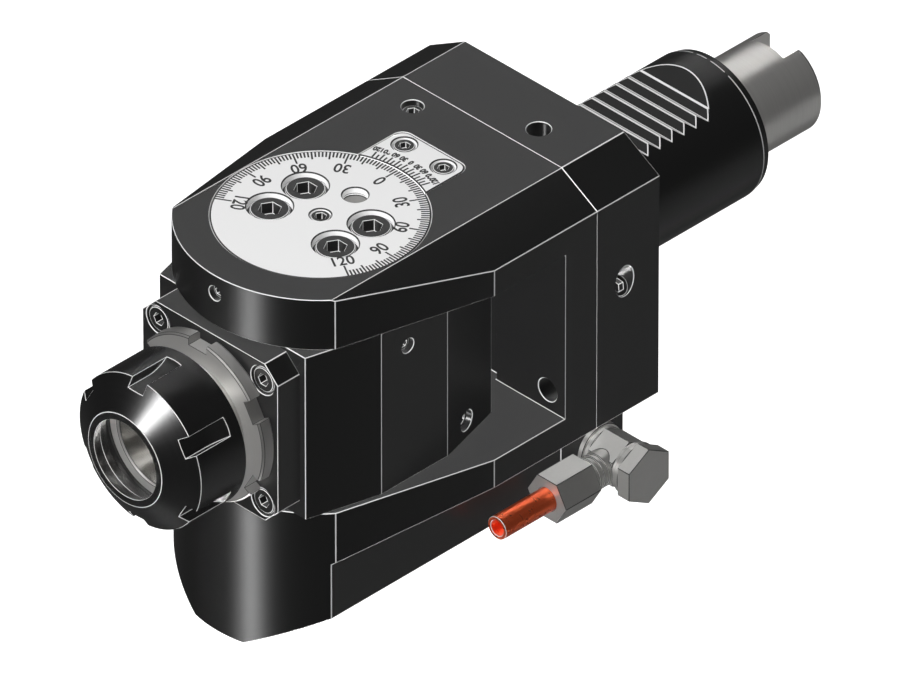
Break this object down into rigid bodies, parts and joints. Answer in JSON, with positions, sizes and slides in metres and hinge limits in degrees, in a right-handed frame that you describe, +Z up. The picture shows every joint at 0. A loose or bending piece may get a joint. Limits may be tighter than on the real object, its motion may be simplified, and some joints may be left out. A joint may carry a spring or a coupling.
{
  "type": "swivel live tool holder",
  "caption": "Driven turret tool holder with a toothed cylindrical shank, a fork that carries a swivelling collet spindle head, a graduated dial and a coolant pipe.",
  "frame": {"origin": "centre of the shank where it meets the flange face", "axes": "+Y along the shank, away from the tool; +Z up, on the dial's side; +X to the coolant pipe's side"},
  "size_m": [0.0847, 0.2279, 0.1058],
  "materials": {
    "black_steel": "black oxide, satin",
    "black_screw": "black oxide, satin",
    "ground_steel": "ground",
    "gear_steel": "machined",
    "bearing_steel": "polished",
    "white_dial": "white, satin",
    "fitting_steel": "plated, satin",
    "copper": "drawn copper tube",
    "seal_rubber": "matt"
  },
  "bodies": {
    "housing": {"rear_block": "black_steel", "fork_housing": "black_steel", "block_screws": "black_screw", "dowel_pins": "bearing_steel", "fork_set_screws": "black_screw", "side_plug_screw": "black_screw", "flange_seal": "seal_rubber", "vernier_plate": "white_dial", "vernier_screws": "black_screw", "bottom_plug": "black_steel", "shaft_seal": "seal_rubber", "drive_bearing_outers": "bearing_steel", "lower_bearing_outers": "bearing_steel", "pivot_lower_bearing_outer": "bearing_steel", "banjo_bolt": "fitting_steel", "sealing_washers": "fitting_steel"},
    "coolant_pipe": {"banjo_body": "fitting_steel", "compression_nut": "fitting_steel", "ferrule": "copper", "copper_tube": "copper"},
    "swivel_head": {"head_housing": "black_steel", "front_cap": "black_steel", "front_seal": "seal_rubber", "front_cap_screws": "black_screw", "rear_cover": "black_steel", "rear_cover_screws": "black_screw", "head_set_screws": "black_screw", "swivel_flange": "black_steel", "dial_plate": "white_dial", "dial_pin": "ground_steel", "clamp_screws": "black_screw", "dial_centre_screw": "black_screw", "pivot_upper_bearing_outer": "bearing_steel", "spindle_bearing_outers": "bearing_steel"},
    "drive": {"drive_shaft": "ground_steel", "drive_gear": "gear_steel", "drive_key": "gear_steel", "drive_bearing_inners": "bearing_steel"},
    "drive_balls": {"drive_bearing_balls": "bearing_steel"},
    "lower_drive": {"lower_shaft": "gear_steel", "lower_gear": "gear_steel", "lower_bevel_gear": "gear_steel", "lower_bearing_inners": "bearing_steel"},
    "lower_balls": {"lower_bearing_balls": "bearing_steel"},
    "pivot_drive": {"pivot_shaft": "gear_steel", "pivot_lower_gear": "gear_steel", "pivot_upper_gear": "gear_steel", "pivot_bearing_inners": "bearing_steel"},
    "pivot_balls": {"pivot_bearing_balls": "bearing_steel"},
    "spindle_balls": {"spindle_bearing_balls": "bearing_steel"},
    "spindle": {"spindle": "ground_steel", "spanner_ring": "ground_steel", "spindle_gear": "gear_steel", "lock_nut": "gear_steel", "spindle_bearing_inners": "bearing_steel"},
    "closing_ring": {"closing_ring": "black_steel"},
    "collet_nut": {"collet_nut": "black_steel"}
  },
  "joints": [
    {"name": "swivel", "type": "hinge", "parent": "housing", "child": "swivel_head", "pos_m": [0, -0.077, 0], "axis": [0, 0, 1], "range_deg": [-110, 110]},
    {"name": "drive_spin", "type": "hinge", "parent": "housing", "child": "drive", "pos_m": [0, 0, 0], "axis": [0, 1, 0], "continuous": true},
    {"name": "drive_cage_spin", "type": "hinge", "parent": "housing", "child": "drive_balls", "pos_m": [0, 0, 0], "axis": [0, 1, 0], "continuous": true},
    {"name": "lower_spin", "type": "hinge", "parent": "housing", "child": "lower_drive", "pos_m": [0, 0, -0.04], "axis": [0, 1, 0], "continuous": true},
    {"name": "lower_cage_spin", "type": "hinge", "parent": "housing", "child": "lower_balls", "pos_m": [0, 0, -0.04], "axis": [0, 1, 0], "continuous": true},
    {"name": "pivot_spin", "type": "hinge", "parent": "housing", "child": "pivot_drive", "pos_m": [0, -0.077, 0], "axis": [0, 0, 1], "continuous": true},
    {"name": "pivot_cage_spin", "type": "hinge", "parent": "housing", "child": "pivot_balls", "pos_m": [0, -0.077, 0], "axis": [0, 0, 1], "continuous": true},
    {"name": "spindle_cage_spin", "type": "hinge", "parent": "swivel_head", "child": "spindle_balls", "pos_m": [0, -0.077, 0], "axis": [0, 1, 0], "range_deg": [-115, 115]},
    {"name": "spindle_spin", "type": "hinge", "parent": "spindle_balls", "child": "spindle", "pos_m": [0, -0.077, 0], "axis": [0, 1, 0], "continuous": true},
    {"name": "nut_travel", "type": "slide", "parent": "spindle", "child": "closing_ring", "axis": [0, -1, 0], "range_m": [0, 0.003]},
    {"name": "nut_turn", "type": "hinge", "parent": "closing_ring", "child": "collet_nut", "pos_m": [0, -0.077, 0], "axis": [0, 1, 0], "range_deg": [0, 720]},
    {"name": "coolant_pipe_swivel", "type": "hinge", "parent": "housing", "child": "coolant_pipe", "pos_m": [0.0342, -0.009, -0.0502], "axis": [1, 0, 0], "range_deg": [-10, 90]}
  ],
  "couplings": [
    {"joint": "drive_cage_spin", "follows": "drive_spin", "ratio": 0.4},
    {"joint": "lower_spin", "follows": "drive_spin", "ratio": -1},
    {"joint": "lower_cage_spin", "follows": "drive_spin", "ratio": -0.4},
    {"joint": "pivot_spin", "follows": "drive_spin", "ratio": -1},
    {"joint": "pivot_cage_spin", "follows": "drive_spin", "ratio": -0.4},
    {"joint": "spindle_spin", "follows": "drive_spin", "ratio": 1},
    {"joint": "spindle_cage_spin", "follows": "swivel", "ratio": 1},
    {"joint": "nut_travel", "follows": "nut_turn", "m_per_rad": 0.00023873}
  ]
}
